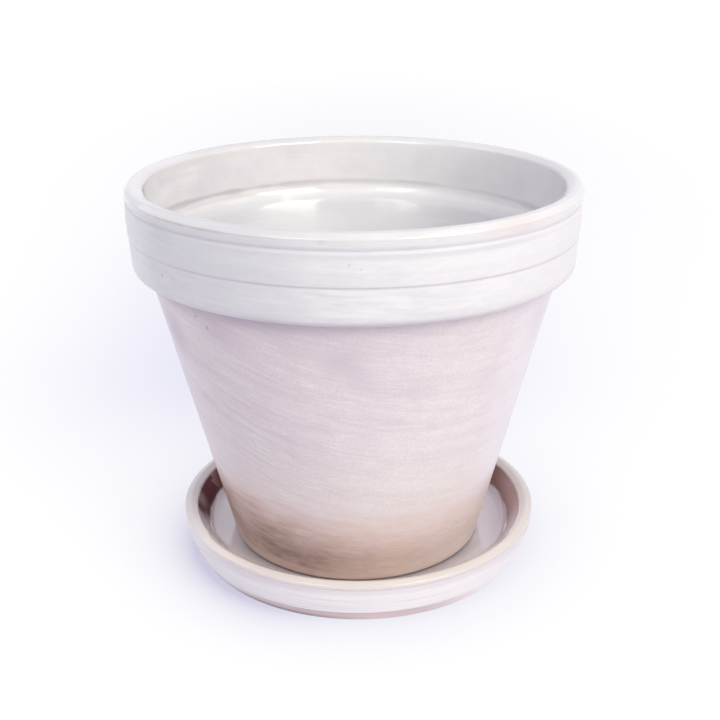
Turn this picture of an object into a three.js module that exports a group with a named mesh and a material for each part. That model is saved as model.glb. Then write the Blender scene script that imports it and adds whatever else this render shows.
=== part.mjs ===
// Glazed flower pot standing in its drip saucer.
// Millimetres, +Z up. The origin is on the pot's axis, at the level that the saucer stands on.

import * as THREE from 'three';

// Pot, sizes that set its outside
const potHeight = 152;
const rimRadius = 90;
const collarOverhang = 7.8;
const footRadius = 52.6;
const collarHeight = 33.9;
const collarInset = 0.3;
const collarTaper = 1.4;
const collarCornerRound = 2.6;
const shoulderCove = 1.6;
const footRound = 1.8;

// Pot, the lip and the turned lines on the collar, each measured down from the top of the lip
const lipHeight = 6.8;
const lipShoulderDrop = 2.7;
const lipShoulderRound = 1.5;
const lipCrownInset = 4.6;
const lipCrownWidth = 1.2;
const lipCrownRound = 3;
const grooveDepth = 0.9;
const beadDrop = 8.2;
const beadRise = 0.3;
const lineDrop = 19.6;
const lineWidth = 1.1;
const lineDepth = 0.6;

// Pot, sizes that set its inside
const lipWidth = 7.6;
const lipInnerDrop = 2.6;
const lipInnerRound = 2.6;
const bodyWall = 6.3;
const ledgeDrop = 20.8;
const ledgeHeight = 4;
const ledgeTaper = 1.2;
const floorThickness = 7;
const insideRound = 8;
const drainRadius = 11;
const drainRound = 1.2;
const footRingWidth = 8.5;
const footRecess = 2;

// Saucer, built round the foot of the pot
const clearRoundFoot = 11;
const saucerHeight = 19.2;
const saucerFloorHeight = 8;
const saucerFlare = 6.2;
const saucerWall = 6;
const saucerLipRound = 2.4;
const saucerInsideRound = 4;
const saucerGrooveDrop = 4.4;
const saucerGrooveDepth = 0.5;
const saucerGrooveHeight = 2.6;
const saucerOutsideFlare = 2.7;
const saucerEdgeHeight = 5;
const saucerFootInset = 2;
const saucerFootTaper = 1.1;
const saucerFootRingWidth = 9;
const saucerUnderRecess = 2;

// How the pot stands in the saucer: a little to one side, on a hair of clearance
const saucerShift = 1.5;
const standingGap = 0.3;

// Smoothness of the turned surfaces
const turns = 72;
const roundSteps = 3;

// Joins the corners [radius, height, rounding] of an outline and rounds each one that asks for it.
// A rounding is kept shorter than half of the edges beside it.
function turnedOutline(corners, closed) {
  const count = corners.length;
  const point = (index) => new THREE.Vector2(...corners[(index + count) % count]);
  const path = new THREE.Path();
  corners.forEach(([radius, height, rounding = 0], index) => {
    const corner = new THREE.Vector2(radius, height);
    const isEnd = !closed && (index === 0 || index === count - 1);
    const toLast = point(index - 1).sub(corner);
    const toNext = point(index + 1).sub(corner);
    const halfAngle = toLast.angleTo(toNext) / 2;
    const tangent = Math.min(rounding / Math.tan(halfAngle), toLast.length() * 0.48, toNext.length() * 0.48);
    const sharp = isEnd || rounding === 0;
    const start = sharp ? corner : corner.clone().add(toLast.setLength(tangent));
    const finish = sharp ? corner : corner.clone().add(toNext.setLength(tangent));
    if (index === 0) path.moveTo(start.x, start.y);
    else path.lineTo(start.x, start.y);
    if (!sharp) path.quadraticCurveTo(corner.x, corner.y, finish.x, finish.y);
  });
  if (closed) path.closePath();
  return path.getPoints(roundSteps);
}

// Turns an outline round the Z axis.
function turned(outline) {
  return new THREE.LatheGeometry(outline, turns).rotateX(Math.PI / 2);
}

// Radius of the pot's outside cone at a height above its foot.
const shoulderHeight = potHeight - collarHeight;
const shoulderRadius = rimRadius - collarOverhang;
function coneRadius(height) {
  return footRadius + (shoulderRadius - footRadius) * (height / shoulderHeight);
}

// Radius of the collar's outside at a depth below the top of the lip.
function collarRadius(drop) {
  return rimRadius - collarInset - (collarTaper * drop) / collarHeight;
}

function potOutline() {
  const top = potHeight;
  const mouth = rimRadius - lipWidth;
  const ringInner = footRadius - footRingWidth;
  const ledgeFoot = top - ledgeDrop - ledgeHeight;
  const insideFloorRadius = coneRadius(floorThickness) - bodyWall;
  return turnedOutline([
    // Drain hole and underside
    [drainRadius, floorThickness, drainRound],
    [drainRadius, footRecess, drainRound],
    [ringInner - footRecess, footRecess],
    [ringInner, 0],
    // Outside cone
    [footRadius, 0, footRound],
    [shoulderRadius, shoulderHeight, shoulderCove],
    // Collar, from its lower corner up to the lip
    [collarRadius(collarHeight), shoulderHeight, collarCornerRound],
    [collarRadius(lineDrop) - lineDepth / 2, top - lineDrop - lineWidth],
    [collarRadius(lineDrop) - lineDepth, top - lineDrop],
    [collarRadius(lineDrop), top - lineDrop + lineWidth],
    [collarRadius(beadDrop), top - beadDrop - lineWidth],
    [collarRadius(beadDrop) + beadRise, top - beadDrop],
    [collarRadius(lipHeight) - grooveDepth, top - lipHeight],
    // Lip
    [rimRadius, top - lipHeight + lineWidth, lineWidth],
    [rimRadius, top - lipShoulderDrop, lipShoulderRound],
    [rimRadius - lipCrownInset, top, lipCrownRound],
    [rimRadius - lipCrownInset - lipCrownWidth, top, lipCrownRound],
    // Inside, from the mouth down past the ledge to the floor
    [mouth, top - lipInnerDrop, lipInnerRound],
    [mouth - ledgeTaper, top - ledgeDrop, lineWidth],
    [coneRadius(ledgeFoot) - bodyWall, ledgeFoot, ledgeHeight],
    [insideFloorRadius, floorThickness, insideRound],
  ], true);
}

function saucerOutline() {
  const top = saucerHeight;
  const floorRadius = footRadius + clearRoundFoot;
  const mouth = floorRadius + saucerFlare;
  const rim = mouth + saucerWall;
  const grooveTop = top - saucerGrooveDrop;
  const ring = grooveTop - saucerGrooveHeight;
  const edge = rim - saucerOutsideFlare;
  const foot = edge - saucerFootInset;
  const recess = foot - saucerFootTaper - saucerFootRingWidth;
  return turnedOutline([
    // Underside
    [0, saucerUnderRecess],
    [recess, saucerUnderRecess],
    [recess + saucerUnderRecess, 0],
    [foot - saucerFootTaper, 0],
    // Outside
    [foot, saucerEdgeHeight - saucerFootInset / 2],
    [edge, saucerEdgeHeight, saucerFootInset],
    [rim, ring, saucerGrooveHeight],
    [rim - saucerGrooveDepth, grooveTop, saucerGrooveHeight],
    // Lip
    [rim, grooveTop + saucerGrooveDepth, saucerGrooveDepth],
    [rim, top, saucerLipRound],
    [mouth, top, saucerLipRound],
    // Inside
    [floorRadius, saucerFloorHeight, saucerInsideRound],
    [0, saucerFloorHeight],
  ], false);
}

const glazeOnPot = new THREE.MeshStandardMaterial({ color: 0xe0d6d8, roughness: 0.35, metalness: 0 });
const glazeOnSaucer = new THREE.MeshStandardMaterial({ color: 0xe4dcdf, roughness: 0.25, metalness: 0 });

const pot = new THREE.Mesh(turned(potOutline()), glazeOnPot);
pot.name = 'pot';
pot.position.z = saucerFloorHeight + standingGap;

const saucer = new THREE.Mesh(turned(saucerOutline()), glazeOnSaucer);
saucer.name = 'saucer';
saucer.position.x = saucerShift;

const group = new THREE.Group();
group.add(saucer, pot);

export default group;
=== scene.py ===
"""Glazed flower pot standing in its drip saucer: two turned bodies, their glazes, and a plain white stage.

Metres, +Z up. The pot's rim is centred on the Z axis, and the saucer stands on the floor at height 0.
"""

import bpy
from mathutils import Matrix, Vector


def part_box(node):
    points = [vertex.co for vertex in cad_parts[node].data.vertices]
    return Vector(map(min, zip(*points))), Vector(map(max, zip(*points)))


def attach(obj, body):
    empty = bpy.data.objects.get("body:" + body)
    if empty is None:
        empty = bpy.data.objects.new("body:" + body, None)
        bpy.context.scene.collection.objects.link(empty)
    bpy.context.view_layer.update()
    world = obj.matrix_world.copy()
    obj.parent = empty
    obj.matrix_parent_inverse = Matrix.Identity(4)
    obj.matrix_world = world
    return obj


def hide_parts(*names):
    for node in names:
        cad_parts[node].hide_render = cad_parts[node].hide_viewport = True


bl_info = {
    "name": "Glazed flower pot",
    "version": (1, 0, 0),
    "blender": (4, 5, 0),
    "location": "3D View > Sidebar > Flower pot",
    "description": "Turns and glazes a flower pot with its drip saucer, and lights them on a white floor",
    "category": "Add Mesh",
}

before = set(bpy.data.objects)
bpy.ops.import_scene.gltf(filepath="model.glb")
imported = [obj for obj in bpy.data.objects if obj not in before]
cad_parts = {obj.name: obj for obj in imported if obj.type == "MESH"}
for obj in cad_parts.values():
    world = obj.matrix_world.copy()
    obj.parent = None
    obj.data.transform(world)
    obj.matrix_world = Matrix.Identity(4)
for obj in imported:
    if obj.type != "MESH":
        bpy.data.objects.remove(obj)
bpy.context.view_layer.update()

import math
from types import SimpleNamespace

import bpy
import numpy as np

MM = 0.001
POT_LOW, POT_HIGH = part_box("pot")
SAUCER_LOW, SAUCER_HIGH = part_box("saucer")

# Outlines, as corners (inset from the rim, drop below the crown of the lip, rounding) in millimetres
COLLAR_AND_LIP = (
    (1.9, 33.4, 3.4),
    (1.5, 26.8, 12.0),
    (1.15, 20.6, 2.0),
    (1.2, 19.3, 0.5),
    (0.85, 18.6, 0.9),
    (0.5, 13.8, 8.0),
    (0.62, 9.2, 1.6),
    (0.55, 7.9, 1.4),
    (0.87, 6.5, 0.6),
    (0.42, 5.2, 1.6),
    (0.2, 2.2, 0.7),
    (1.9, 0.35, 1.4),
    (4.0, 0.0, 3.0),
    (7.4, 1.7, 1.5),
)
MOUTH_AND_LEDGE = (
    (7.9, 9.8, 14.0),
    (8.1, 20.0, 2.5),
    (8.75, 23.6, 5.0),
    (12.4, 28.2, 5.5),
)
# The saucer's outside and lip: (inset from its edge, height, rounding) in millimetres
SAUCER_OUTSIDE = (
    (5.8, 0.0, 0.6),
    (4.9, 3.9, 0.8),
    (2.9, 5.0, 1.2),
    (0.35, 13.0, 1.4),
    (0.7, 14.2, 1.2),
    (0.6, 16.3, 0.8),
    (0.0, 17.3, 0.5),
    (0.1, 18.5, 0.6),
    (2.2, 19.2, 2.0),
    (3.2, 19.2, 2.5),
    (5.4, 18.0, 2.5),
    (6.6, 16.2, 2.0),
)
# Roundings of the corners whose places follow from the sizes
DRAIN_ROUND = 1.2 * MM
RECESS_ROUND = 1 * MM
RING_ROUND = 0.8 * MM
FOOT_ROUND = 0.9 * MM
SHOULDER_ROUND = 1.6 * MM
POT_FLOOR_ROUND = 8 * MM
SAUCER_FLOOR_ROUND = 4 * MM
# The groove under the lip, where the lean of the lip takes hold, and how high it takes to do so
LEAN_DROP = 6.9 * MM
LEAN_BLEND = 3 * MM

# Fineness of the turned surfaces: points in a ring, points in a rounding, and the longest straight step
ROUND_THE_POT = 360
ROUND_THE_SAUCER = 384
STEPS_IN_A_ROUNDING = 7
POT_STEP = 4.4 * MM
SAUCER_STEP = 2.4 * MM
# Share of an edge that a rounding may take, how close two points are taken for one, and the number of points
# that an outline is cut into when a place is looked for on it
LONGEST_CUT = 0.48
SAME_POINT = 0.001 * MM
FINE_STEPS = 20000

# Places that the glazes refer to, in millimetres: on the pot (inset from the rim, drop below the crown of the
# lip), and on the saucer (inset from its edge, height)
ON_POT = {
    "lip_edge": (0, 2.65),
    "lip_top": (3.6, 0),
    "mouth_edge": (7.4, 1.7),
    "groove": (0.9, 6.5),
    "bead": (0.57, 8.4),
    "turned_line": (1.2, 19.2),
    "ledge": (8.1, 20.3),
}
ON_SAUCER = {
    "foot_line": (3.6, 4.5),
    "groove": (0.3, 13.2),
    "lip_line": (0, 17.8),
    "inner_rim": (5.5, 18.0),
    "floor_edge": (10.5, 10.8),
}

# Where the glazes look for the collar's lower edge, in from the rim
COLLAR_FOOT_INSET = 4 * MM
# Inputs of a mixing node for the colour below and the one above, and its output
MIXED_COLOURS = (6, 7)
MIXED_RESULT = 2

# Brush strokes: length and width in millimetres, lean, the noise where they start and where they are full,
# seed, and curve
STROKES_ON_POT = {
    "broad": (50, 4.5, 0.2, 0.4, 0.66, 0, -1.7),
    "short": (11, 0.9, 0.16, 0.5, 0.72, 3, -1.7),
    "fine": (22, 0.7, 0.19, 0.52, 0.72, 29, -1.7),
    "dark": (26, 1.2, 0.22, 0.5, 0.74, 7, -1.9),
    "heavy": (34, 2.6, 0.22, 0.5, 0.72, 77, -1.9),
    "slanting": (22, 2.2, -0.35, 0.45, 0.7, 11, 0),
    "level": (30, 1.3, 0.08, 0.42, 0.7, 17, 0),
    "scratches": (16, 1.1, 0.45, 0.5, 0.68, 61, 0),
    "ragged": (14, 2.4, 0.12, 0.2, 0.8, 23, 0),
    "pale_flecks": (4, 0.7, 0.1, 0.45, 0.62, 83, 0),
    "dark_flecks": (5, 0.6, 0.1, 0.5, 0.66, 89, 0),
    "band_warm": (20, 1.6, 0.04, 0.46, 0.64, 97, 0),
    "band_cool": (12, 3, 0.1, 0.46, 0.64, 101, 0),
    "broken": (12, 12, 0, 0.3, 0.75, 31, 0),
}
STROKES_ON_SAUCER = {
    "level": (40, 1.3, 0, 0.42, 0.7, 5, 0),
}
# Clouds in a glaze: size in millimetres, the noise where they start and where they are full, and seed
CLOUDS_ON_POT = {
    "clouds": (22, 0.4, 0.7, 0),
    "blotches": (9, 0.38, 0.68, 51),
    "grain": (0.9, 0.3, 0.7, 41),
}
CLOUDS_ON_SAUCER = {
    "clouds": (20, 0.4, 0.7, 9),
    "torn": (6, 0.3, 0.7, 13),
}
# Mauve clouds on the body: azimuth in degrees, height and reach in millimetres, squatness, strength
BODY_CLOUD_RADIUS = 78
BODY_CLOUDS = (
    (-3, 111, 13, 1.3, 0.6),
    (2, 104, 10, 1.3, 0.45),
    (-60, 108, 14, 0.9, 0.9),
    (-38, 117, 12, 1.3, 0.65),
    (17, 98, 13, 1.2, 0.22),
    (62, 112, 16, 0.9, 0.3),
)
# Pinholes: azimuth in degrees, height and reach in millimetres, strength
PINHOLES = (
    (-44.5, 120.8, 1.0, 0.6),
    (-40.8, 117.3, 1.1, 0.6),
    (-62.8, 143.5, 1.0, 0.3),
    (-49.8, 135.8, 1.0, 0.35),
    (-1, 148.8, 0.6, 0.35),
    (1.5, 147.3, 0.5, 0.3),
    (10, 93, 0.7, 0.45),
)
GLAZE_IOR = 1.5
# Depth of the ridges that the brush leaves
POT_RIDGES = 0.02 * MM
SAUCER_RIDGES = 0.005 * MM

# Stage: the lights are upright windows, as (name, left and right azimuth in degrees, colour), 0 being the
# camera's side
WINDOW_DISTANCE = 1.35
WINDOW_BOTTOM = 0.535
WINDOW_TOP = 2.4
DAYLIGHT = (0.95, 1.0, 0.853)
WINDOWS = (
    ("right_window", 25.4, 64.9, (0.99, 1.0, 0.85)),
    ("left_pane", -43.6, -27.6, DAYLIGHT),
    ("middle_pane", -26.0, -15.1, DAYLIGHT),
    ("dim_pane", -62.2, -43.8, DAYLIGHT),
    ("left_wall", -130.0, -95.0, (1.0, 0.97, 1.0)),
)
FILL_COLOUR = (0.68, 0.635, 1.0, 1)
BACKDROP_COLOUR = (0.98, 0.97, 1.0, 1)
FLOOR_REACH = 9.0
FLOOR_GLOW = 1.02
FLOOR_COLOUR = (0.86, 0.84, 0.90, 1)
FLOOR_SHEEN = (0.1, 0.1, 0.1, 1)
# Shades on the floor that the camera sees: (x, y, side reach, front reach, back reach, what it takes away)
FLOOR_SHADES = (
    (-0.031, 0.215, 0.132, 0.127, 0.447, (0.245, 0.25, 0.113)),
    (0.028, 0.76, 0.457, 0.9, 1.002, (0.126, 0.132, 0.112)),
)
# Shades that fade away from the saucer's foot, all round and at the left
SAUCER_FOOT = 71 * MM
SAUCER_SHADE = (0.175, 0.175, 0.125)
SAUCER_SHADE_REACH = 30 * MM
SAUCER_LEFT_SHADE = (0.24, 0.26, 0.18)
SAUCER_LEFT_REACH = 7.5 * MM
# The left one is full from here on to the left, and only this share of it is there from the middle on
SAUCER_LEFT_SIDE = -55 * MM
SAUCER_LEFT_REST = 0.12

# Camera: its place, its tilt and turn in degrees, and its lens and sensor in millimetres
CAMERA_PLACE = (-0.8 * MM, -430.5 * MM, 249.2 * MM)
CAMERA_DOWN = 21.335
CAMERA_TO_RIGHT = 0.395
LENS = 54.86
SENSOR_WIDTH = 36
NEAREST_SEEN = 10 * MM


def linear(red, green, blue):
    """Scene-linear colour of an sRGB one given in 0 to 255."""
    share = np.array([red, green, blue]) / 255
    return tuple(np.where(share <= 0.04045, share / 12.92, ((share + 0.055) / 1.055) ** 2.4))


def length(name, description, default):
    return bpy.props.FloatProperty(
        name=name, description=description, default=default, min=0, subtype="DISTANCE", unit="LENGTH"
    )


def tint(name, description, rgb):
    return bpy.props.FloatVectorProperty(
        name=name, description=description, default=linear(*rgb), min=0, max=1, size=3, subtype="COLOR"
    )


def number(name, description, default):
    return bpy.props.FloatProperty(name=name, description=description, default=default)


class PotSizes(bpy.types.PropertyGroup):
    rim_width: length("Rim width", "Outside width of the pot at its lip", POT_HIGH.x - POT_LOW.x)
    top: length("Top", "Height of the lip above the floor", POT_HIGH.z)
    base: length("Base", "Height of the foot ring above the floor", POT_LOW.z)
    foot_width: length("Foot width", "Outside width of the foot", 105.2 * MM)
    collar_height: length("Collar height", "From the top of the lip to the collar's lower edge", 33.9 * MM)
    collar_overhang: length("Collar overhang", "How far the rim stands out past the body", 7.8 * MM)
    floor_thickness: length("Floor thickness", "Thickness of the pot's floor", 7 * MM)
    wall: length("Wall", "Thickness of the body's wall", 6.3 * MM)
    foot_ring: length("Foot ring", "Width of the ring that the pot stands on", 8.5 * MM)
    foot_recess: length("Foot recess", "Depth of the recess inside the foot ring", 2 * MM)
    drain_width: length("Drain hole", "Width of the drain hole", 22 * MM)
    lean_room: length("Lean", "How much the high side of the lip stands above its mean height", 0.5 * MM)
    lean_side: number("Lean sideways", "Slope of the lip towards +X", 0.0035)
    lean_back: number("Lean back", "Slope of the lip towards +Y", 0.0043)
    foot_aside: length("Foot aside", "How far the foot sits off the rim's centre, towards +X", 0.5 * MM)
    foot_forward: length("Foot forward", "How far the foot sits off the rim's centre, towards -Y", 2.8 * MM)
    collar_drift: length("Collar drift", "How far the collar sits off the rim's centre, towards -X", 0.4 * MM)


class SaucerSizes(bpy.types.PropertyGroup):
    width: length("Width", "Outside width of the saucer", SAUCER_HIGH.x - SAUCER_LOW.x)
    centre: length("Centre", "Place of the saucer's centre along X", (SAUCER_HIGH.x + SAUCER_LOW.x) / 2)
    floor_height: length("Floor height", "Height of the saucer's inside floor", 8 * MM)
    floor_width: length("Floor width", "Width of the inside floor", 127.2 * MM)
    foot_ring: length("Foot ring", "Width of the ring that the saucer stands on", 7 * MM)
    recess: length("Recess", "Depth of the recess underneath", 2 * MM)


class GlazeColours(bpy.types.PropertyGroup):
    collar: tint("Collar white", "White glaze of the collar and the lip", (238, 235, 237))
    collar_cool: tint("Collar cool", "Greyer clouds and strokes in the white glaze", (224, 222, 227))
    collar_warm: tint("Collar warm", "Pinkish white strokes in the white glaze", (249, 245, 248))
    # Painted light: far sides made lighter, standing in for light and reflection from the white surroundings
    edge_light: tint("Side light", "Lilac white of the far left and right sides", (254, 252, 255))
    inside: tint("Inside white", "Glaze inside the pot", (248, 244, 246))
    inside_low: tint("Inside low", "Greyer glaze inside, from the ledge down", (225, 223, 227))
    body: tint("Body", "Thin glaze on the body", (241, 230, 232))
    # Pale strokes on the body, and also painted light on its right side
    body_light: tint("Body light", "Light side of the body and the light strokes on it", (254, 246, 245))
    body_warm: tint("Body warm", "Yellowish strokes low on the body", (241, 229, 214))
    # Painted light: the body's far sides made lighter, standing in for reflection of the white surroundings
    body_edge: tint("Body sides", "Pinkish lilac of the body's far left and right sides", (254, 243, 255))
    body_mauve: tint("Body mauve", "Mauve strokes and clouds on the body", (214, 199, 211))
    # Pooled glaze, and also painted shade under the collar's overhang and along its lower edge
    pooled: tint("Pooled glaze", "Dark glaze gathered under the collar", (206, 190, 203))
    tan: tint("Tan", "Where the body glaze thins out towards the foot", (237, 215, 208))
    clay: tint("Clay", "Bare clay by the foot", (224, 194, 178))
    burnt: tint("Burnt clay", "Darkest clay by the foot", (152, 116, 100))
    # Painted contact shade: the dark line and shading where a foot meets what it stands on
    grime: tint("Grime", "Dark line where a foot meets what it stands on", (92, 74, 68))
    edge: tint("Thin edge", "Peach of the clay showing through on edges", (237, 220, 213))
    edge_brown: tint("Brown edge", "Brown of the clay showing through on edges", (190, 170, 162))
    # Grey of scratches, and painted shade in the crease along the ledge inside
    crease: tint("Crease", "Grey line in the glaze along the ledge inside", (196, 190, 192))
    pinhole: tint("Pinhole", "Inside of a pinhole", (90, 70, 70))
    saucer: tint("Saucer", "Glaze outside the saucer", (253, 248, 249))
    # Groove glaze, darkened as painted shade under the lip
    saucer_groove: tint("Saucer groove", "Glaze in the groove under the saucer's lip", (236, 228, 233))
    saucer_lip: tint("Saucer lip", "Cream glaze on the saucer's lip", (231, 221, 216))
    saucer_foot: tint("Saucer foot", "Pinkish clay under the saucer's edge", (223, 203, 208))
    # Painted light on the saucer's far left side
    saucer_left: tint("Saucer left side", "Warm white of the saucer's far left side", (255, 247, 246))
    saucer_floor: tint("Saucer floor", "Lilac grey glaze on the saucer's floor", (226, 220, 230))
    # Painted shade and painted reflection of the pot's foot on the saucer's floor
    saucer_film: tint("Saucer film", "Beige film left by water round the pot's foot", (156, 138, 130))
    saucer_wall: tint("Saucer wall", "Greyish brown inside wall of the saucer", (214, 183, 178))
    saucer_rust: tint("Saucer rust", "Reddish brown patches on the saucer's inside wall", (135, 87, 77))
    maroon: tint("Maroon", "Thick dark glaze on the left of the saucer's inside wall", (92, 22, 34))
    maroon_edge: tint("Maroon edge", "Where the thick dark glaze ends at the back", (96, 34, 22))


class StageSettings(bpy.types.PropertyGroup):
    fill: number("Fill", "Brightness of the light from all round", 0.314)
    right_window: number("Right window", "Radiance of the big window at the right", 5.4)
    left_pane: number("Left pane", "Radiance of the brightest pane at the left", 3.85)
    middle_pane: number("Middle pane", "Radiance of the pane nearest to the camera", 2.15)
    dim_pane: number("Dim pane", "Radiance of the outermost pane at the left", 0.75)
    left_wall: number("Left wall", "Radiance of the pale wall at the left, a little behind", 0.6)


class PlantPotSettings(bpy.types.PropertyGroup):
    pot: bpy.props.PointerProperty(type=PotSizes, name="Pot", description="Sizes of the pot")
    saucer: bpy.props.PointerProperty(type=SaucerSizes, name="Saucer", description="Sizes of the saucer")
    glaze: bpy.props.PointerProperty(type=GlazeColours, name="Glaze", description="Colours of the glazes")
    stage: bpy.props.PointerProperty(type=StageSettings, name="Stage", description="Strengths of the lights")


# Turned surfaces


def rounded_outline(corners, closed, step):
    """Points (radius, height) of an outline through corners (radius, height, rounding).

    A circle of each corner's rounding is laid against the two edges beside it, and the corner gives way to
    the arc between the two touching points, which lie rounding / tan(half the corner's angle) from it, or
    nearly half an edge at the most. The straight runs between arcs are cut into equal parts no longer than
    step.
    """
    corners = np.array(corners, float)
    spot = corners[:, :2]
    to_last = np.roll(spot, 1, axis=0) - spot
    to_next = np.roll(spot, -1, axis=0) - spot
    last_length = np.linalg.norm(to_last, axis=1)
    next_length = np.linalg.norm(to_next, axis=1)
    to_last /= last_length[:, None]
    to_next /= next_length[:, None]
    half_angle = np.arccos(np.clip((to_last * to_next).sum(axis=1), -1, 1)) / 2
    cut = np.minimum(corners[:, 2] / np.tan(half_angle), LONGEST_CUT * np.minimum(last_length, next_length))
    middle = to_last + to_next
    middle /= np.linalg.norm(middle, axis=1)[:, None]
    centre = spot + middle * (cut / np.cos(half_angle))[:, None]
    first = spot + to_last * cut[:, None] - centre
    final = spot + to_next * cut[:, None] - centre
    sweep = (math.pi - 2 * half_angle)[:, None, None]
    share = np.linspace(0, 1, STEPS_IN_A_ROUNDING)[None, :, None]
    arcs = np.sin((1 - share) * sweep) * first[:, None] + np.sin(share * sweep) * final[:, None]
    walk = (centre[:, None] + arcs / np.sin(sweep)).reshape(-1, 2)
    if closed:
        walk = np.vstack([walk, walk[:1]])
    walk = walk[np.r_[True, np.hypot(*np.diff(walk, axis=0).T) > SAME_POINT]]
    gaps = np.hypot(*np.diff(walk, axis=0).T)
    parts = np.maximum(1, np.ceil(gaps / step)).astype(int)
    run = np.repeat(np.arange(len(parts)), parts)
    part_way = (np.arange(parts.sum()) - np.repeat(np.cumsum(parts) - parts, parts)) / parts[run]
    outline = walk[run] + (walk[run + 1] - walk[run]) * part_way[:, None]
    return outline if closed else np.vstack([outline, walk[-1:]])


def along(outline):
    """Length walked along an outline at each of its points."""
    return np.r_[0, np.cumsum(np.hypot(*np.diff(outline, axis=0).T))]


def along_at(outline, radius, height):
    """Length walked along an outline at its point nearest to (radius, height)."""
    walked = along(outline)
    fine = np.linspace(0, walked[-1], FINE_STEPS)
    radii = np.interp(fine, walked, outline[:, 0])
    heights = np.interp(fine, walked, outline[:, 1])
    return float(fine[np.argmin(np.hypot(radii - radius, heights - height))])


def smooth(low, high, value):
    """0 below low, 1 above high, and 3t^2 - 2t^3 between."""
    share = np.clip((value - low) / (high - low), 0, 1)
    return share * share * (3 - 2 * share)


def turned_mesh(name, outline, closed, rounds, shape):
    """Turns an outline round the Z axis into a closed mesh.

    Point (i, j) of the grid is the outline's point i at the angle 2 pi j / rounds, and shape moves the whole
    grid. A closed outline joins its last ring to its first; an open one starts and ends on the axis, where a
    single point takes the place of the ring.
    """
    angle = np.arange(rounds) * (2 * math.pi / rounds)
    radius = outline[:, 0][:, None]
    height = np.repeat(outline[:, 1][:, None], rounds, axis=1)
    grid = np.stack(shape(radius * np.cos(angle), radius * np.sin(angle), height), axis=-1)
    walked = along(outline)
    # Each point of a ring and the next one round it, and the number that each ring starts at
    here = np.arange(rounds)
    there = np.roll(here, -1)
    first = 0 if closed else 1
    rings = len(outline) - 2 * first
    ring = np.arange(rings)[:, None] * rounds + first
    above = np.roll(ring, -1)
    quads = np.stack([ring + here, ring + there, above + there, above + here], axis=-1)
    if closed:
        points, walked = grid.reshape(-1, 3), np.repeat(walked, rounds)
        faces = quads.reshape(-1, 4).tolist()
    else:
        points = np.vstack([grid[0].mean(axis=0), grid[1:-1].reshape(-1, 3), grid[-1].mean(axis=0)])
        walked = np.r_[walked[0], np.repeat(walked[1:-1], rounds), walked[-1]]
        faces = quads[:-1].reshape(-1, 4).tolist()
        last = len(points) - 1
        for pole, low, high in ((0, there + 1, here + 1), (last, here + ring[-1], there + ring[-1])):
            faces += np.stack([np.full(rounds, pole), low, high], axis=-1).tolist()
    mesh = bpy.data.meshes.new(name)
    mesh.from_pydata(points, [], faces)
    mesh.attributes.new("along", "FLOAT", "POINT").data.foreach_set("value", walked.astype(np.float32))
    mesh.polygons.foreach_set("use_smooth", np.ones(len(mesh.polygons), bool))
    mesh.update()
    return mesh


def pot_outline(size):
    """The pot's section: from the drain hole up the outside, over the lip and down the inside."""
    rim = size.rim_width / 2
    foot = size.foot_width / 2
    shoulder = rim - size.collar_overhang
    shoulder_height = size.top - size.collar_height
    crown = size.top - size.lean_room
    ring = foot - size.foot_ring
    drain = size.drain_width / 2
    inside_floor = size.base + size.floor_thickness
    slope = (shoulder - foot) / (shoulder_height - size.base)
    floor_radius = foot + slope * size.floor_thickness - size.wall
    underside = [
        (drain, inside_floor, DRAIN_ROUND),
        (drain, size.base + size.foot_recess, DRAIN_ROUND),
        (ring - size.foot_recess, size.base + size.foot_recess, RECESS_ROUND),
        (ring, size.base, RING_ROUND),
    ]
    body = [(foot, size.base, FOOT_ROUND), (shoulder, shoulder_height, SHOULDER_ROUND)]
    turned = [(rim - inset * MM, crown - drop * MM, rounding * MM)
              for inset, drop, rounding in COLLAR_AND_LIP + MOUTH_AND_LEDGE]
    inside = [(floor_radius, inside_floor, POT_FLOOR_ROUND)]
    return rounded_outline(underside + body + turned + inside, True, POT_STEP)


def saucer_outline(size):
    """The saucer's section: from the middle underneath, up the outside, over the lip and back."""
    edge = size.width / 2
    ring = edge - SAUCER_OUTSIDE[0][0] * MM - size.foot_ring
    underside = [(0, size.recess, 0), (ring - size.recess, size.recess, RECESS_ROUND), (ring, 0, RING_ROUND)]
    outside = [(edge - inset * MM, height * MM, rounding * MM) for inset, height, rounding in SAUCER_OUTSIDE]
    inside = [(size.floor_width / 2, size.floor_height, SAUCER_FLOOR_ROUND), (0, size.floor_height, 0)]
    return rounded_outline(underside + outside + inside, False, SAUCER_STEP)


def hand_turned_pot(size):
    """Shape function of the pot: its body drifts off the rim's centre and its lip leans a little.

    Sideways it goes from foot_aside at the foot to collar_drift the other way at the collar and to none at
    the lip, and towards -Y from foot_forward at the foot to none at the collar. The lip's height gains
    lean_side times x plus lean_back times y. The lean takes hold, and the drift stops, over the groove under
    the lip.
    """
    groove = size.top - LEAN_DROP

    def shape(x, y, z):
        on_lip = smooth(groove, groove + LEAN_BLEND, z)
        aside = np.interp(z, [size.base, groove], [-size.foot_aside, size.collar_drift])
        ahead = np.interp(z, [size.base, groove], [size.foot_forward, 0])
        return x - aside * (1 - on_lip), y - ahead, z + on_lip * (size.lean_side * x + size.lean_back * y)

    return shape


# Node trees


def place(tree, kind, links=None, **settings):
    """Adds a node, sets its settings, and fills the inputs named in links with sockets or plain values."""
    made = tree.nodes.new(kind)
    for key, value in settings.items():
        setattr(made, key, value)
    for key, value in (links or {}).items():
        if isinstance(value, bpy.types.NodeSocket):
            tree.links.new(value, made.inputs[key])
        else:
            made.inputs[key].default_value = value
    return made


def calculate(tree, operation, *values, clamp=False):
    """Result of a calculation with one, two or three values."""
    made = place(tree, "ShaderNodeMath", dict(enumerate(values)), operation=operation, use_clamp=clamp)
    return made.outputs[0]


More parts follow.
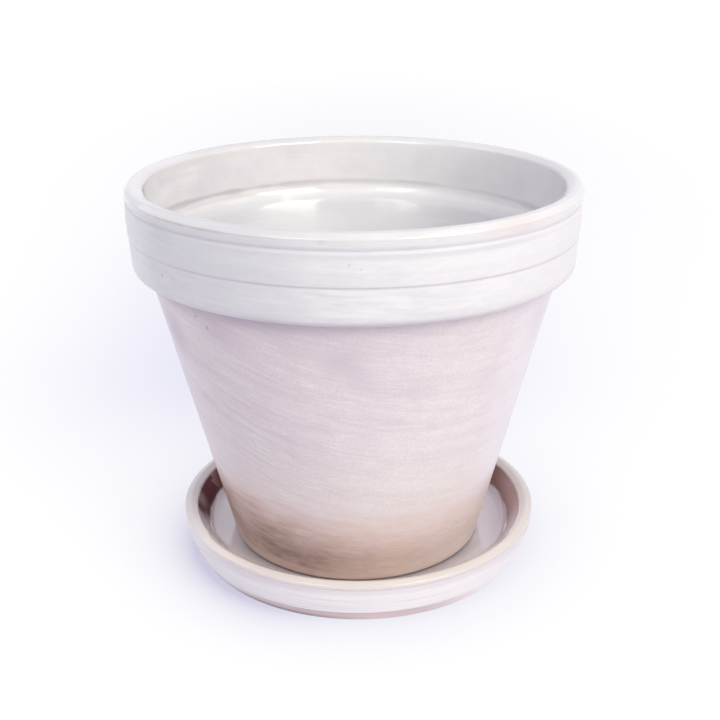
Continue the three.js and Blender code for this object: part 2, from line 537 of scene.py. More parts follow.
def vector_of(tree, operation, *values, **named):
    """Result of a vector calculation; a length or a product of two vectors is a number."""
    links = dict(enumerate(values)) | named
    made = place(tree, "ShaderNodeVectorMath", links, operation=operation).outputs
    return made["Value" if operation in ("LENGTH", "DISTANCE", "DOT_PRODUCT") else "Vector"]


def combine(tree, x, y, z=0.0):
    return place(tree, "ShaderNodeCombineXYZ", {"X": x, "Y": y, "Z": z}).outputs[0]


def separate(tree, vector):
    return place(tree, "ShaderNodeSeparateXYZ", {0: vector}).outputs


def fade(tree, value, low, high, start=0.0, end=1.0):
    """Smooth step from start at low to end at high."""
    links = {"Value": value, "From Min": low, "From Max": high, "To Min": start, "To Max": end}
    return place(tree, "ShaderNodeMapRange", links, interpolation_type="SMOOTHSTEP").outputs["Result"]


def noise_mask(tree, given, vector, detail, roughness, distortion=0.0):
    """Noise of the size of a unit, cut down to what lies between Low and High."""
    noise = place(tree, "ShaderNodeTexNoise", {
        "Vector": vector, "W": given["Seed"], "Scale": 1.0, "Detail": detail, "Roughness": roughness,
        "Distortion": distortion,
    }, noise_dimensions="4D").outputs["Fac"]
    return fade(tree, noise, given["Low"], given["High"])


def new_group(name, inputs):
    """A node group with inputs (name, default), Vector and Centre being vectors, and the output Mask."""
    tree = bpy.data.node_groups.new(name, "ShaderNodeTree")
    for key, default in inputs:
        kind = "NodeSocketVector" if key in ("Vector", "Centre") else "NodeSocketFloat"
        socket = tree.interface.new_socket(key, in_out="INPUT", socket_type=kind)
        if default is not None:
            socket.default_value = default
    tree.interface.new_socket("Mask", in_out="OUTPUT", socket_type="NodeSocketFloat")
    return tree, tree.nodes.new("NodeGroupInput").outputs, tree.nodes.new("NodeGroupOutput").inputs["Mask"]


def brush_strokes_group():
    """Strokes of a brush held against the turning pot: noise drawn out along X and Y, and sheared in height.

    The shear is Lean times x plus Curve times x squared, so that a negative Curve steepens the strokes at -X.
    """
    tree, given, out = new_group("Brush strokes", (
        ("Vector", None), ("Length", 0.04), ("Width", 0.001), ("Lean", 0.1), ("Curve", 0), ("Low", 0.4),
        ("High", 0.6), ("Seed", 0),
    ))
    axes = separate(tree, given["Vector"])
    slope = calculate(tree, "MULTIPLY_ADD", axes["X"], given["Curve"], given["Lean"])
    leaned = calculate(tree, "MULTIPLY_ADD", axes["X"], slope, axes["Z"])
    stretched = combine(
        tree,
        calculate(tree, "DIVIDE", axes["X"], given["Length"]),
        calculate(tree, "DIVIDE", axes["Y"], given["Length"]),
        calculate(tree, "DIVIDE", leaned, given["Width"]),
    )
    tree.links.new(noise_mask(tree, given, stretched, detail=3.0, roughness=0.55, distortion=0.15), out)


def clouds_group():
    """Soft clouds in a glaze, from noise of one size in all directions."""
    tree, given, out = new_group("Glaze clouds", (
        ("Vector", None), ("Size", 0.03), ("Low", 0.4), ("High", 0.65), ("Seed", 0),
    ))
    scaled = vector_of(tree, "SCALE", given["Vector"], Scale=calculate(tree, "DIVIDE", 1.0, given["Size"]))
    tree.links.new(noise_mask(tree, given, scaled, detail=2.5, roughness=0.5), out)


def spot_group():
    """One soft spot: 1 at Centre, 0 from Radius on, flattened by Squat in height."""
    tree, given, out = new_group("Glaze spot", (
        ("Vector", None), ("Centre", None), ("Radius", 0.01), ("Squat", 1),
    ))
    axes = separate(tree, vector_of(tree, "SUBTRACT", given["Vector"], given["Centre"]))
    squat = combine(tree, axes["X"], axes["Y"], calculate(tree, "MULTIPLY", axes["Z"], given["Squat"]))
    share = calculate(tree, "DIVIDE", vector_of(tree, "LENGTH", squat), given["Radius"])
    tree.links.new(fade(tree, share, 0.0, 1.0, 1.0, 0.0), out)


def line_group():
    """A band along the outline: 1 within Half of At, gone after Soft more, and broken up by Wander."""
    tree, given, out = new_group("Thin glaze line", (
        ("Along", 0), ("At", 0), ("Half", 0.0005), ("Soft", 0.0005), ("Wander", 0),
    ))
    off = calculate(tree, "ABSOLUTE", calculate(tree, "SUBTRACT", given["Along"], given["At"]))
    off = calculate(tree, "ADD", off, given["Wander"])
    outer = calculate(tree, "ADD", given["Half"], given["Soft"])
    tree.links.new(fade(tree, off, given["Half"], outer, 1.0, 0.0), out)


def oval_shade_group():
    """1 at Centre, fading as e^-(d^2), where d is the distance with x over Side and y over Front or Back."""
    tree, given, out = new_group("Oval shade", (
        ("Vector", None), ("Centre", None), ("Side", 0.1), ("Front", 0.1), ("Back", 0.1),
    ))
    axes = separate(tree, vector_of(tree, "SUBTRACT", given["Vector"], given["Centre"]))
    side = calculate(tree, "DIVIDE", axes["X"], given["Side"])
    front = calculate(tree, "DIVIDE", calculate(tree, "MINIMUM", axes["Y"], 0.0), given["Front"])
    back = calculate(tree, "DIVIDE", calculate(tree, "MAXIMUM", axes["Y"], 0.0), given["Back"])
    oval = combine(tree, side, calculate(tree, "ADD", front, back))
    square = vector_of(tree, "DOT_PRODUCT", oval, oval)
    tree.links.new(calculate(tree, "EXPONENT", calculate(tree, "MULTIPLY", square, -1.0)), out)


def make_groups():
    for name, build in (
        ("Brush strokes", brush_strokes_group),
        ("Glaze clouds", clouds_group),
        ("Glaze spot", spot_group),
        ("Thin glaze line", line_group),
        ("Oval shade", oval_shade_group),
    ):
        if name not in bpy.data.node_groups:
            build()


def use_group(tree, name, **links):
    """Places a group in a tree; an input's name is written with a capital."""
    links = {key.capitalize(): value for key, value in links.items()}
    return place(tree, "ShaderNodeGroup", links, node_tree=bpy.data.node_groups[name]).outputs["Mask"]


def empty_tree(owner):
    """Node tree of a new material or world, without its first nodes."""
    owner.use_nodes = True
    owner.node_tree.nodes.clear()
    return owner.node_tree


# Glazes


def at_azimuth(azimuth, radius, height, aside=0.0):
    """Point at an azimuth in degrees (0 faces -Y, and it grows towards +X), a radius and a height in mm.

    aside, in metres, moves it along X.
    """
    turn = math.radians(azimuth)
    return (radius * math.sin(turn) * MM + aside, -radius * math.cos(turn) * MM, height * MM)


class Glaze:
    """A glaze while it is mixed: its node tree, and short calls for the masks and colours that go into it.

    walked is the length along the turned outline, and aside is where the piece's centre lies along X.
    """

    def __init__(self, name, size, colour, aside=0.0):
        self.size = size
        self.colour = colour
        self.aside = aside
        self.material = bpy.data.materials.new(name)
        self.tree = empty_tree(self.material)
        self.where = self.tree.nodes.new("ShaderNodeTexCoord").outputs["Object"]
        axes = separate(self.tree, self.where)
        self.x, self.y, self.height = axes["X"], axes["Y"], axes["Z"]
        self.walked = place(self.tree, "ShaderNodeAttribute", attribute_name="along").outputs["Fac"]
        self.marks = {}

    def mask(self, value):
        """The mark of that name, or the value itself."""
        return self.marks[value] if isinstance(value, str) else value

    def math(self, operation, *values, clamp=False):
        return calculate(self.tree, operation, *map(self.mask, values), clamp=clamp)

    def times(self, first, *others):
        product = self.mask(first)
        for other in others:
            product = self.math("MULTIPLY", product, other)
        return product

    def plus(self, base, mask, amount, clamp=False):
        """base with amount times the mask added to it."""
        return self.math("MULTIPLY_ADD", mask, amount, base, clamp=clamp)

    def fade(self, value, low, high, start=0.0, end=1.0):
        return fade(self.tree, value, low, high, start, end)

    def fade_mm(self, value, low, high, start=0.0, end=1.0):
        """Fade between two lengths in mm."""
        return self.fade(value, low * MM, high * MM, start, end)

    def up(self, low, high, start=0.0, end=1.0):
        """Fade from one height to another, in mm."""
        return self.fade_mm(self.height, low, high, start, end)

    def across(self, low, high, start=0.0, end=1.0):
        """Fade from left to right."""
        return self.fade(self.side, low, high, start, end)

    def past(self, spot, before, after, start=0.0, end=1.0):
        """Fade along the outline, from before mm to after mm past a spot on it."""
        return self.fade(self.walked, spot + before * MM, spot + after * MM, start, end)

    def group(self, name, **links):
        return use_group(self.tree, name, vector=self.where, **links)

    def make_marks(self, strokes, clouds):
        """Makes the strokes and clouds of two tables, which can then be given to any call by their names."""
        for name, (long, wide, lean, low, high, seed, curve) in strokes.items():
            self.marks[name] = self.group("Brush strokes", length=long * MM, width=wide * MM, lean=lean,
                                          curve=curve, low=low, high=high, seed=seed)
        for name, (size, low, high, seed) in clouds.items():
            self.marks[name] = self.group("Glaze clouds", size=size * MM, low=low, high=high, seed=seed)

    def spot_at(self, centre, reach, squat=1.0):
        """Soft spot round a point, with its reach in mm, flattened in height by squat."""
        return self.group("Glaze spot", centre=centre, radius=reach * MM, squat=squat)

    def spot(self, azimuth, radius, height, reach, squat=1.0):
        """Soft spot round the point at an azimuth, a radius and a height, in degrees and mm."""
        return self.spot_at(at_azimuth(azimuth, radius, height, self.aside), reach, squat)

    def line(self, at, half, soft, wander=0.0):
        """Line at a place along the outline, with half its width and its soft edge in mm."""
        return use_group(self.tree, "Thin glaze line", along=self.walked, at=at, half=half * MM,
                         soft=soft * MM, wander=wander)

    def layers(self, surface, *laid):
        """Lays colours over a surface one by one, each given as (colour, mask, mask, ...).

        A colour is the name of a setting, or a socket.
        """
        for above, *masks in laid:
            colours = [(*getattr(self.colour, value), 1) if isinstance(value, str) else value
                       for value in (surface, above)]
            links = {"Factor": self.times(*masks)} | dict(zip(MIXED_COLOURS, colours))
            mixer = place(self.tree, "ShaderNodeMix", links, data_type="RGBA", clamp_factor=True)
            surface = mixer.outputs[MIXED_RESULT]
        return surface

    def finish(self, surface, rough, ridges, depth, **coat):
        """Joins the colour, the roughness, the ridges of the brush and the clear coat into the shader."""
        bump = place(self.tree, "ShaderNodeBump", {"Height": ridges, "Strength": 1.0, "Distance": depth})
        links = {
            "Base Color": surface, "Roughness": rough, "Normal": bump.outputs["Normal"], "IOR": GLAZE_IOR,
            "Coat IOR": GLAZE_IOR,
        } | {key.replace("_", " ").title(): value for key, value in coat.items()}
        shader = place(self.tree, "ShaderNodeBsdfPrincipled", links)
        place(self.tree, "ShaderNodeOutputMaterial", {"Surface": shader.outputs[0]})
        return self.material


class PotGlaze(Glaze):
    """Brushed white on collar, lip and inside, thin pinkish glaze on the body, bare clay at the foot.

    side is the sine of the azimuth: -1 at the far left, 1 at the far right. leftward, rightward and far_left
    are masks that grow towards those sides, and uneven is a number near 1 that changes in blotches.
    """

    def __init__(self, size, colour, outline):
        super().__init__("pot_glaze", size, colour)
        self.outline = outline
        rim, crown = size.rim_width / 2, size.top - size.lean_room
        self.at = SimpleNamespace(**{name: along_at(outline, rim - inset * MM, crown - drop * MM)
                                     for name, (inset, drop) in ON_POT.items()})
        self.collar_foot = along_at(outline, rim - COLLAR_FOOT_INSET, size.top - size.collar_height)
        self.make_marks(STROKES_ON_POT, CLOUDS_ON_POT)
        from_axis = vector_of(self.tree, "LENGTH", combine(self.tree, self.x, self.y))
        self.side = self.math("DIVIDE", self.x, from_axis)
        self.leftward = self.across(-0.8, 0.35, 1.0, 0.0)
        self.rightward = self.across(0.05, 0.9)
        self.far_left = self.across(-0.97, -0.76, 1.0, 0.0)
        self.uneven = self.plus(1.05, "blotches", -0.25)

    def on_outside(self, azimuth, height):
        """Point on the outside of the pot at an azimuth in degrees and a height in mm."""
        size, outline = self.size, self.outline
        ends = ((size.foot_width / 2, size.base), (size.rim_width / 2, size.top))
        first, last = (int(np.argmin(np.hypot(outline[:, 0] - radius, outline[:, 1] - level)))
                       for radius, level in ends)
        radius = float(np.interp(height * MM, outline[first:last, 1], outline[first:last, 0]))
        return at_azimuth(azimuth, radius / MM, height, -size.collar_drift)

    def body(self):
        """Pale glaze, painted light on the right and far sides, light and mauve strokes, clouds, a few
        scratches.
        """
        clouds = [("body_mauve", self.spot(azimuth, BODY_CLOUD_RADIUS, up, reach, squat), strength)
                  for azimuth, up, reach, squat, strength in BODY_CLOUDS]
        scratched = self.math("MAXIMUM", self.spot(-25, 63, 68, 17, 1.4), self.spot(-8, 60, 53, 9, 1.3))
        return self.layers(
            "body",
            # Painted light: the body lighter towards the right
            ("body_light", self.across(-0.35, 0.85, 0.0, 0.8)),
            ("body_mauve", self.leftward, 0.03),
            ("pooled", "heavy", self.leftward, 0.45),
            ("body_mauve", "broad", 0.22),
            ("body_mauve", "clouds", 0.14),
            ("body_mauve", "blotches", 0.12),
            ("body_mauve", "dark", self.plus(0.2, self.leftward, 0.4)),
            ("body_light", "short", 0.55),
            ("body_light", "fine", 0.3),
            ("body_warm", "level", self.up(50, 95, 0.25, 0.12)),
            ("body_warm", self.up(45, 80, 0.3, 0.0)),
            ("pooled", "grain", 0.17),
            # Painted light on the body's far left and right sides
            ("body_edge", self.across(-1.0, -0.68, 1.0, 0.0), 0.6),
            ("body_edge", self.across(0.6, 0.95), 0.7),
            *clouds,
            ("crease", "scratches", scratched, 0.9),
            # Pooled glaze under the collar, partly painted shade of its overhang
            ("pooled", self.up(118, 125), self.across(-0.6, 0.2, 0.85, 0.1)),
        )

    def foot(self, body):
        """The glaze thins to tan and then to clay, brushed and mottled, and darkest at the left, partly
        painted shade.
        """
        height, base = self.height, self.size.base
        worn = self.plus(height, "ragged", 8 * MM)
        worn = self.plus(worn, self.across(-0.65, -0.25, 1.0, 0.0), -6.5 * MM)
        worn = self.plus(worn, self.far_left, -4 * MM)
        low_left = self.times(self.far_left, self.up(18, 30, 0.6, -0.5))
        # Darkest clay, strongest at the left, where it is partly painted shade
        burnt = self.times(
            self.across(-0.45, 0.25, 1.0, 0.0),
            self.fade_mm(worn, 14, 50, 0.8, 0.0),
            self.across(-0.85, -0.5, 0.75, 1.0),
            self.up(9, 16, 0.3, 1.0),
            self.up(20, 28, 1.15, 1.0),
            self.math("SUBTRACT", 1.0, low_left),
            self.uneven,
            self.plus(1.2, "ragged", -0.45),
        )
        band = self.times(
            self.up(10, 15, 0.35, 1.0),
            self.up(15, 30, 1.0, 0.0),
            self.across(-0.5, 0.1),
            self.plus(1.2, "blotches", -0.5),
        )
        # Painted light on the right of the foot
        painted_light_right = self.times(self.rightward, self.up(20, 45, 0.26, 0.0))
        mottled = self.up(25, 50, 1.0, 0.0)
        return self.layers(
            body,
            ("tan", self.fade_mm(worn, 33, 54, 1.0, 0.0)),
            ("clay", self.fade_mm(worn, 18, 42, 1.0, 0.0)),
            ("burnt", burnt),
            ("burnt", band, 0.2),
            ("body_light", painted_light_right),
            ("body_warm", painted_light_right),
            ("body_warm", "pale_flecks", mottled, 0.13),
            ("burnt", "dark_flecks", mottled, 0.15),
            ("body_light", "ragged", self.up(12, 40, 0.16, 0.0)),
            # Painted contact shade, spread up the foot and as a dark line along its bottom
            ("grime", self.up(10, 19, 0.08, 0.0)),
            ("grime", self.fade(height, base + 0.2 * MM, base + 1.4 * MM, 0.9, 0.0)),
        )

    def collar(self):
        """White with greyer clouds, light and grey strokes, a pinkish right side, and painted light at the
        far left.
        """
        on_face = self.past(self.at.lip_edge, -4, -1, 1.0, 0.25)
        low_band = self.up(138, 141, 1.0, 0.3)
        left_of_middle = self.times(self.across(-0.9, -0.6), self.across(-0.35, 0.0, 1.0, 0.0))
        return self.layers(
            "collar",
            ("collar_cool", "clouds", 0.45),
            ("collar_cool", "blotches", 0.3),
            ("collar_warm", "band_warm", on_face, low_band, 0.6),
            ("collar_cool", "band_cool", on_face, low_band, 0.5),
            ("collar_warm", "slanting", on_face, self.plus(0.24, self.rightward, 0.35)),
            ("collar_warm", "level", 0.3),
            ("collar_warm", self.rightward, 0.7),
            ("collar_cool", left_of_middle, 0.45),
            # Painted light on the collar's far left
            ("edge_light", self.far_left, 0.9),
            # Painted shade along the collar's lower edge
            ("pooled", self.up(127, 132, 0.3, 0.0), self.across(-0.75, -0.2)),
        )

    def inside(self):
        """Clouded white, with yellowish strokes at the left, and greyer from the ledge down."""
        return self.layers(
            "inside",
            ("collar_cool", "clouds", 0.4),
            ("collar_cool", "blotches", 0.14),
            ("body_warm", "level", self.across(-0.7, 0.4, 0.3, 0.12)),
            ("inside_low", self.past(self.at.ledge, 3, 8)),
        )

    def edges(self, surface):
        """Peach and brown where the glaze is thin on the lip's edges; mauve in the turned lines, partly
        painted shade.
        """
        at = self.at
        wander = self.times("broken", 0.7 * MM)
        line = self.line(at.lip_edge, 0.2, 0.8, wander)
        bead = self.times(self.line(at.bead, 0.5, 1.4), self.across(-0.5, 0.1))
        inner = self.line(at.mouth_edge, 0.3, 1.5, wander)
        return self.layers(
            surface,
            ("edge", line, 0.4),
            ("edge_brown", line, self.spot(-38, 88, 157, 40), 0.45),
            ("edge", self.spot(37, 89.3, 156.9, 22, 5), 0.55, self.uneven),
            ("pooled", self.spot(-7, 90, 156.3, 3, 2), 0.35),
            # Mauve in the groove and the turned line, partly painted shade in them
            ("pooled", self.line(at.groove, 0.15, 0.6), 0.4),
            ("pooled", self.line(at.turned_line, 0.15, 0.6), 0.4),
            # Painted shade on the bead, dimming its highlight
            ("collar_cool", bead, self.across(0.55, 0.85, 0.7, 0.0)),
            ("edge", inner, self.spot(-125, 83, 158, 75), 0.4),
        )

    def ledge_lines(self, surface):
        """Wavy dark lines along the ledge inside, strongest at the back and left, partly painted shade in its
        crease.
        """
        ledge = self.at.ledge
        wave = self.times("clouds", 1.2 * MM)
        upper = self.plus(0.5, self.spot(-130, 82, 139, 80), 0.3)
        lower = self.spot(-145, 82, 136, 70)
        return self.layers(
            surface,
            # Dark lines along the ledge, partly painted shade in its crease
            ("crease", upper, self.line(ledge, 0.3, 2.0, wave)),
            ("crease", self.line(ledge + 2.7 * MM, 0.4, 1.4, wave), lower, 0.3),
        )

    def mixed(self):
        """The whole glaze, with brush ridges outside and a wet coat on the lip and inside."""
        at = self.at
        in_mouth = self.past(at.lip_top, 0, 5)
        white = self.layers(self.collar(), (self.inside(), in_mouth))
        surface = self.layers(
            self.foot(self.body()),
            (white, self.past(self.collar_foot, -0.8, 2.2)),
            ("pooled", "grain", self.past(self.collar_foot, 0, 2, 0.1, 0.05)),
        )
        surface = self.layers(self.ledge_lines(self.edges(surface)), *(
            ("pinhole", self.spot_at(self.on_outside(azimuth, up), reach), strength)
            for azimuth, up, reach, strength in PINHOLES
        ))
        ridges = self.math("ADD", self.times("short", 0.6), self.times("slanting", 0.4))
        ridges = self.times(ridges, self.past(at.lip_edge, -2, 0, 1.0, 0.12))
        past_ledge = self.past(at.ledge, 1, 5)
        mouth_end = self.times(in_mouth, self.across(0.7, 0.93))
        # Rough outside, most at the foot, smooth from the lip on, and duller below the ledge
        rough = self.math("ADD", self.past(at.lip_edge, -3, 0, 0.34, 0.1), self.up(14, 40, 0.2, 0.0))
        rough = self.plus(rough, past_ledge, self.up(122, 131, 0.28, 0.0))
        rough = self.plus(rough, mouth_end, 0.15)
        # A clear coat from the lip on, thin below the ledge and none at the mouth's right end
        wet = self.plus(self.past(at.lip_edge, -1.5, 0, 0.0, 0.7), past_ledge, -0.55)
        wet = self.plus(wet, mouth_end, -0.7, clamp=True)
        return self.finish(surface, rough, ridges, POT_RIDGES, coat_weight=wet, coat_roughness=0.05)


class SaucerGlaze(Glaze):
    """Cream lip, pale outside, lilac floor, and a greyish brown inside wall with rust and a maroon pool.

    side runs from -1 at the saucer's left edge to 1 at its right edge.
    """

    def __init__(self, size, pot, colour, outline):
        super().__init__("saucer_glaze", size, colour, size.centre)
        self.pot = pot
        edge = size.width / 2
        self.at = SimpleNamespace(**{name: along_at(outline, edge - inset * MM, height * MM)
                                     for name, (inset, height) in ON_SAUCER.items()})
        self.make_marks(STROKES_ON_SAUCER, CLOUDS_ON_SAUCER)
        self.side = self.math("DIVIDE", self.math("SUBTRACT", self.x, size.centre), edge)
        self.from_middle = self.math("ABSOLUTE", self.x)

    def outside(self, wander):
        """Foot, outside and lip: peach line on the lip's edge, painted shade low at the left, painted light
        far left.
        """
        at = self.at
        foot = self.layers(
            "saucer_foot",
            ("tan", "clouds", 0.3),
            ("saucer", self.fade_mm(self.from_middle, 25, 60)),
        )
        outside = self.layers(
            "saucer",
            ("collar_cool", "level", 0.6),
            ("collar_warm", "clouds", 0.75),
        )
        up_the_left = self.fade(self.walked, at.groove, at.lip_line, 1.0, 0.8)
        at_left = self.times(self.across(-0.8, -0.55), self.across(-0.35, 0.1, 1.0, 0.1))
        return self.layers(
            foot,
            (outside, self.past(at.foot_line, -0.8, 0.6)),
            # Partly painted shade in the groove under the lip
            ("saucer_groove", self.past(at.groove, -0.5, 0.5)),
            ("saucer_lip", self.past(at.lip_line, -0.6, 0.4)),
            ("edge", self.line(at.lip_line, 0.3, 0.9, wander), 0.5),
            # Painted light on the far left
            ("saucer_left", self.across(-0.95, -0.5, 0.9, 0.0), up_the_left),
            # Painted contact shade low down at the left
            ("grime", self.up(0.3, 2.4, 0.6, 0.0), at_left),
        )

    def pool_at_left(self, back):
        """Mask of the maroon pool: torn, with a streak down to the floor, held back on top for a painted
        glint.
        """
        pool = self.math("MAXIMUM", self.spot(-94, 66.5, 12, 23, 0.9), self.spot(-84, 64.5, 8.5, 20, 4.5))
        pool = self.times(pool, self.plus(0.7, "torn", 1.6))
        pool = self.math("MAXIMUM", self.math("MULTIPLY", pool, 2.0, clamp=True), back)
        # Painted glint: the maroon held back near the top of the wall
        return self.times(pool, self.plus(1.0, self.spot(-89, 69.5, 16.5, 7), -0.6))

    def inside_wall(self, pool, back):
        """Greyish brown, rusty low down and at the back, with the maroon pool at the left."""
        low = self.up(9, 16, 0.45, 0.0)
        return self.layers(
            "saucer_wall",
            ("saucer_rust", "clouds", 0.2),
            ("saucer_rust", low),
            ("saucer_floor", self.fade_mm(self.y, -24, 0, 0.95, 0.0)),
            ("saucer_rust", low, self.across(0.3, 0.6)),
            ("saucer_rust", self.spot(122, 66, 11, 36), 1.25),
            ("saucer_rust", self.spot(-115, 66, 11, 15), 1.25),
            ("maroon", pool),
            ("maroon_edge", back, 0.5),
        )

    def painted_shade_round_foot(self):
        """Mask of painted shade and reflection: a ring under and round the pot's foot, strongest at the
        front.
        """
        pot = self.pot
        flat = combine(self.tree, self.x, self.y)
        away = vector_of(self.tree, "DISTANCE", flat, (pot.foot_aside, -pot.foot_forward, 0))
        foot_edge = pot.foot_width / 2
        ring_inside = foot_edge - pot.foot_ring
        return self.times(
            self.fade(away, ring_inside - 2 * MM, ring_inside + 2 * MM),
            self.fade(away, foot_edge + 1 * MM, foot_edge + 7.5 * MM, 1.0, 0.0),
            self.fade_mm(self.y, -36, -16, 0.5, 0.05),
        )

    def floor(self):
        """Lilac grey, painted light at the left, mauve at the far right, painted shade and reflection round
        the foot.
        """
        return self.layers(
            "saucer_floor",
            ("body_mauve", "clouds", 0.15),
            # Painted light on the left of the saucer's floor
            ("edge_light", self.across(-0.8, -0.3, 0.5, 0.0)),
            ("body_mauve", self.across(0.68, 0.8, 0.0, 0.85)),
            # Painted shade and reflection round the pot's foot
            ("saucer_film", self.painted_shade_round_foot()),
        )

    def mixed(self):
        """The whole glaze, wet on the lip and the floor, and dull on the inside wall left and right."""
        at = self.at
        wander = self.times("torn", 0.4 * MM)
        reach = self.math("SUBTRACT", self.walked, wander)
        onto_lip = self.math("ADD", reach, self.across(-0.88, -0.6, 0.3 * MM, 0.0))
        back = self.spot(-113, 66.5, 12, 19)
        pool = self.pool_at_left(back)
        wall = self.inside_wall(pool, back)
        surface = self.layers(
            self.outside(wander),
            (wall, self.fade(onto_lip, at.inner_rim - 0.8 * MM, at.inner_rim + 0.8 * MM)),
            (self.floor(), self.fade(reach, at.floor_edge - 0.4 * MM, at.floor_edge + 0.4 * MM)),
        )
        ridges = self.times("level", self.past(at.lip_line, -2, 0, 1.0, 0.1))
        dull = self.times(
            self.fade_mm(self.from_middle, 20, 48, 0.0, 0.25),
            self.past(at.inner_rim, -0.3, 0.8),
            self.past(at.floor_edge, -0.8, 0, 1.0, 0.0),
        )
        # Rough outside and smooth from the lip on, with a clear coat where it isn't dull
        rough = self.math("ADD", self.past(at.lip_line, -1, 0, 0.28, 0.1), dull)
        wet = self.past(at.lip_line, -0.5, 0, self.across(-0.97, -0.72, 0.7, 0.0), 0.8)
        wet = self.plus(wet, dull, -3.2, clamp=True)
        # The pool mirrors in its own dark colour
        on_wall = self.math("MULTIPLY", dull, 4.0, clamp=True)
        dark = self.times(pool, on_wall, self.fade_mm(self.y, 0, 24, 1.0, 0.5))
        return self.finish(surface, rough, ridges, SAUCER_RIDGES, coat_weight=wet, coat_roughness=0.06,
                           metallic=dark)


# Pieces


def add_object(name, data):
    """A new object in the scene."""
    made = bpy.data.objects.new(name, data)
    bpy.context.scene.collection.objects.link(made)
    return made


def show(name, mesh, material, body, node):
    """Puts a finished mesh in the scene in place of its CAD node."""
    mesh.materials.append(material)
    piece = add_object(name, mesh)
    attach(piece, body)
    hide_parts(node)
    return piece


# Stage


def window(name, left, right, radiance, colour):
    """An upright rectangle of light facing the pot, between two azimuths in degrees.

    Its power is the radiance times pi times its area.
    """
    middle, half = math.radians((left + right) / 2), math.radians((right - left) / 2)
    light = bpy.data.lights.new(name, "AREA")
    light.shape = "RECTANGLE"
    light.size = 2 * WINDOW_DISTANCE * math.tan(half)
    light.size_y = WINDOW_TOP - WINDOW_BOTTOM
    light.energy = radiance * math.pi * light.size * light.size_y
    light.color = colour
    lamp = add_object(name, light)
    lamp.location = (WINDOW_DISTANCE * math.sin(middle), -WINDOW_DISTANCE * math.cos(middle),
                     (WINDOW_TOP + WINDOW_BOTTOM) / 2)
    lamp.rotation_euler = (math.pi / 2, 0, middle)


def seen_directly(tree):
    """1 for camera, glossy and transmission rays, and 0 for the rays that light the object."""
    path = tree.nodes.new("ShaderNodeLightPath").outputs
    glossy = calculate(tree, "MAXIMUM", path["Is Camera Ray"], path["Is Glossy Ray"])
    return calculate(tree, "MAXIMUM", glossy, path["Is Transmission Ray"])


def take_away(tree, glowing, mask, amount):
    """The glow less amount times the mask."""
    return vector_of(tree, "SUBTRACT", glowing, vector_of(tree, "SCALE", amount, Scale=mask))


def make_floor():
    """A wide white floor that turns lilac round the pot.

    The camera and the reflections see a white glow, less an oval shade for each of FLOOR_SHADES, less a shade
    that fades away from the saucer's foot as e^-(distance / reach), less a shorter one at the left, plus a
    little of the real light and shadow.
    """
    mesh = bpy.data.meshes.new("floor")
    corner = np.array([(-1, -1, 0), (1, -1, 0), (1, 1, 0), (-1, 1, 0)]) * FLOOR_REACH
    mesh.from_pydata(corner, [], [(0, 1, 2, 3)])
    material = bpy.data.materials.new("white_floor")
    tree = empty_tree(material)
    where = tree.nodes.new("ShaderNodeTexCoord").outputs["Object"]
    glowing = combine(tree, FLOOR_GLOW, FLOOR_GLOW, FLOOR_GLOW)
    for x, y, side, front, back, amount in FLOOR_SHADES:
        oval = use_group(tree, "Oval shade", vector=where, centre=(x, y, 0), side=side, front=front,
                         back=back)
        glowing = take_away(tree, glowing, oval, amount)
    away = calculate(tree, "SUBTRACT", vector_of(tree, "LENGTH", where), SAUCER_FOOT)
    away = calculate(tree, "MAXIMUM", away, 0.0)
    beside = calculate(tree, "EXPONENT", calculate(tree, "DIVIDE", away, -SAUCER_SHADE_REACH))
    glowing = take_away(tree, glowing, beside, SAUCER_SHADE)
    close = calculate(tree, "EXPONENT", calculate(tree, "DIVIDE", away, -SAUCER_LEFT_REACH))
    on_left = fade(tree, separate(tree, where)["X"], SAUCER_LEFT_SIDE, 0.0, 1.0, SAUCER_LEFT_REST)
    glowing = take_away(tree, glowing, calculate(tree, "MULTIPLY", close, on_left), SAUCER_LEFT_SHADE)
    matt = place(tree, "ShaderNodeBsdfDiffuse", {"Color": FLOOR_COLOUR})
    faint = place(tree, "ShaderNodeBsdfDiffuse", {"Color": FLOOR_SHEEN})
    glow = place(tree, "ShaderNodeEmission", {"Color": glowing, "Strength": 1.0})
    lit = place(tree, "ShaderNodeAddShader", {0: faint.outputs[0], 1: glow.outputs[0]})
    shaders = {0: seen_directly(tree), 1: matt.outputs[0], 2: lit.outputs[0]}
    mixed = place(tree, "ShaderNodeMixShader", shaders)
    place(tree, "ShaderNodeOutputMaterial", {"Surface": mixed.outputs[0]})
    mesh.materials.append(material)
    floor = add_object("floor", mesh)


def make_world(fill):
    """Even lilac light from all round, and nearly white where the camera or a reflection sees it."""
    world = bpy.data.worlds.new("studio")
    tree = empty_tree(world)
    even = place(tree, "ShaderNodeBackground", {"Color": FILL_COLOUR, "Strength": fill})
    white = place(tree, "ShaderNodeBackground", {"Color": BACKDROP_COLOUR, "Strength": 1.0})
    shaders = {0: seen_directly(tree), 1: even.outputs[0], 2: white.outputs[0]}
    mixed = place(tree, "ShaderNodeMixShader", shaders)
    place(tree, "ShaderNodeOutputWorld", {"Surface": mixed.outputs[0]})
    bpy.context.scene.world = world


def make_camera():
    """A long lens a hand's breadth above the rim, looking down at the pot."""
    data = bpy.data.cameras.new("camera")
    data.sensor_fit = "HORIZONTAL"
    data.sensor_width = SENSOR_WIDTH
    data.lens = LENS
    data.clip_start = NEAREST_SEEN
    camera = add_object("camera", data)
    camera.location = CAMERA_PLACE
    camera.rotation_euler = (math.radians(90 - CAMERA_DOWN), 0, math.radians(-CAMERA_TO_RIGHT))
    bpy.context.scene.camera = camera


# Operators and panel


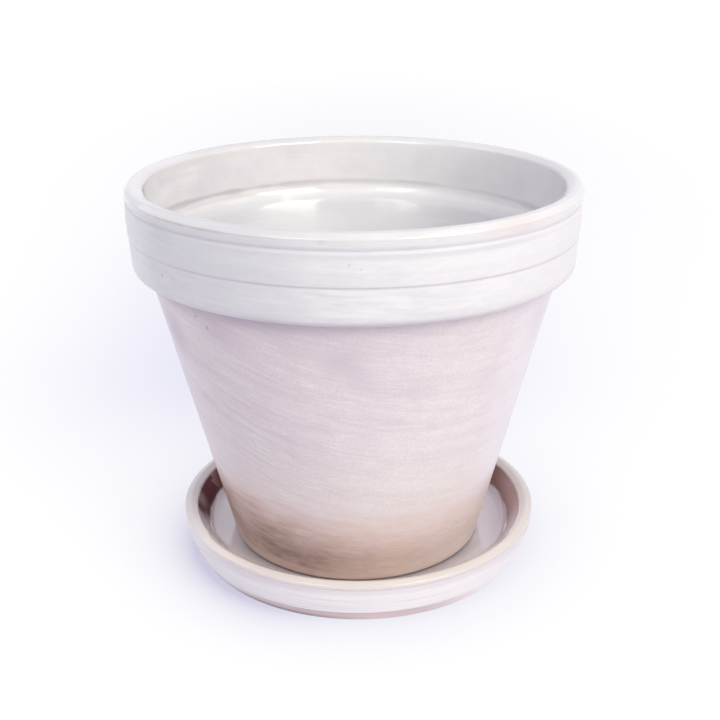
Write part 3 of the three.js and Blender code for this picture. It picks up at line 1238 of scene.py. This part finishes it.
class PLANTPOT_OT_make_pot(bpy.types.Operator):
    """Turn the pot and glaze it"""

    bl_idname = "plantpot.make_pot"
    bl_label = "Make pot"
    bl_options = {"UNDO"}

    def execute(self, context):
        settings = context.scene.plant_pot
        make_groups()
        outline = pot_outline(settings.pot)
        mesh = turned_mesh("glazed_pot", outline, True, ROUND_THE_POT, hand_turned_pot(settings.pot))
        material = PotGlaze(settings.pot, settings.glaze, outline).mixed()
        show("glazed_pot", mesh, material, "pot", "pot")
        return {"FINISHED"}


class PLANTPOT_OT_make_saucer(bpy.types.Operator):
    """Turn the drip saucer and glaze it"""

    bl_idname = "plantpot.make_saucer"
    bl_label = "Make saucer"
    bl_options = {"UNDO"}

    def execute(self, context):
        settings = context.scene.plant_pot
        make_groups()
        outline = saucer_outline(settings.saucer)
        aside = settings.saucer.centre
        mesh = turned_mesh("drip_saucer", outline, False, ROUND_THE_SAUCER, lambda x, y, z: (x + aside, y, z))
        material = SaucerGlaze(settings.saucer, settings.pot, settings.glaze, outline).mixed()
        show("drip_saucer", mesh, material, "saucer", "saucer")
        return {"FINISHED"}


class PLANTPOT_OT_make_stage(bpy.types.Operator):
    """Set up the white floor, the lights and the camera"""

    bl_idname = "plantpot.make_stage"
    bl_label = "Make stage"
    bl_options = {"UNDO"}

    def execute(self, context):
        stage = context.scene.plant_pot.stage
        make_groups()
        context.scene.view_settings.view_transform = "Standard"
        make_world(stage.fill)
        make_floor()
        make_camera()
        for name, left, right, colour in WINDOWS:
            window(name, left, right, getattr(stage, name), colour)
        return {"FINISHED"}


class PLANTPOT_PT_maker(bpy.types.Panel):
    bl_label = "Flower pot"
    bl_idname = "PLANTPOT_PT_maker"
    bl_space_type = "VIEW_3D"
    bl_region_type = "UI"
    bl_category = "Flower pot"

    def draw(self, context):
        settings = context.scene.plant_pot
        for title, group, operator in (
            ("Pot", settings.pot, "plantpot.make_pot"),
            ("Saucer", settings.saucer, "plantpot.make_saucer"),
            ("Glaze", settings.glaze, None),
            ("Stage", settings.stage, "plantpot.make_stage"),
        ):
            box = self.layout.box()
            box.label(text=title)
            for key in group.bl_rna.properties.keys():
                if key not in ("rna_type", "name"):
                    box.prop(group, key)
            if operator:
                box.operator(operator)


CLASSES = (
    PotSizes,
    SaucerSizes,
    GlazeColours,
    StageSettings,
    PlantPotSettings,
    PLANTPOT_OT_make_pot,
    PLANTPOT_OT_make_saucer,
    PLANTPOT_OT_make_stage,
    PLANTPOT_PT_maker,
)


def register():
    for cls in CLASSES:
        bpy.utils.register_class(cls)
    bpy.types.Scene.plant_pot = bpy.props.PointerProperty(type=PlantPotSettings)


def unregister():
    del bpy.types.Scene.plant_pot
    for cls in reversed(CLASSES):
        bpy.utils.unregister_class(cls)


def main():
    register()
    bpy.ops.plantpot.make_stage()
    bpy.ops.plantpot.make_saucer()
    bpy.ops.plantpot.make_pot()


if __name__ == "__main__":
    main()
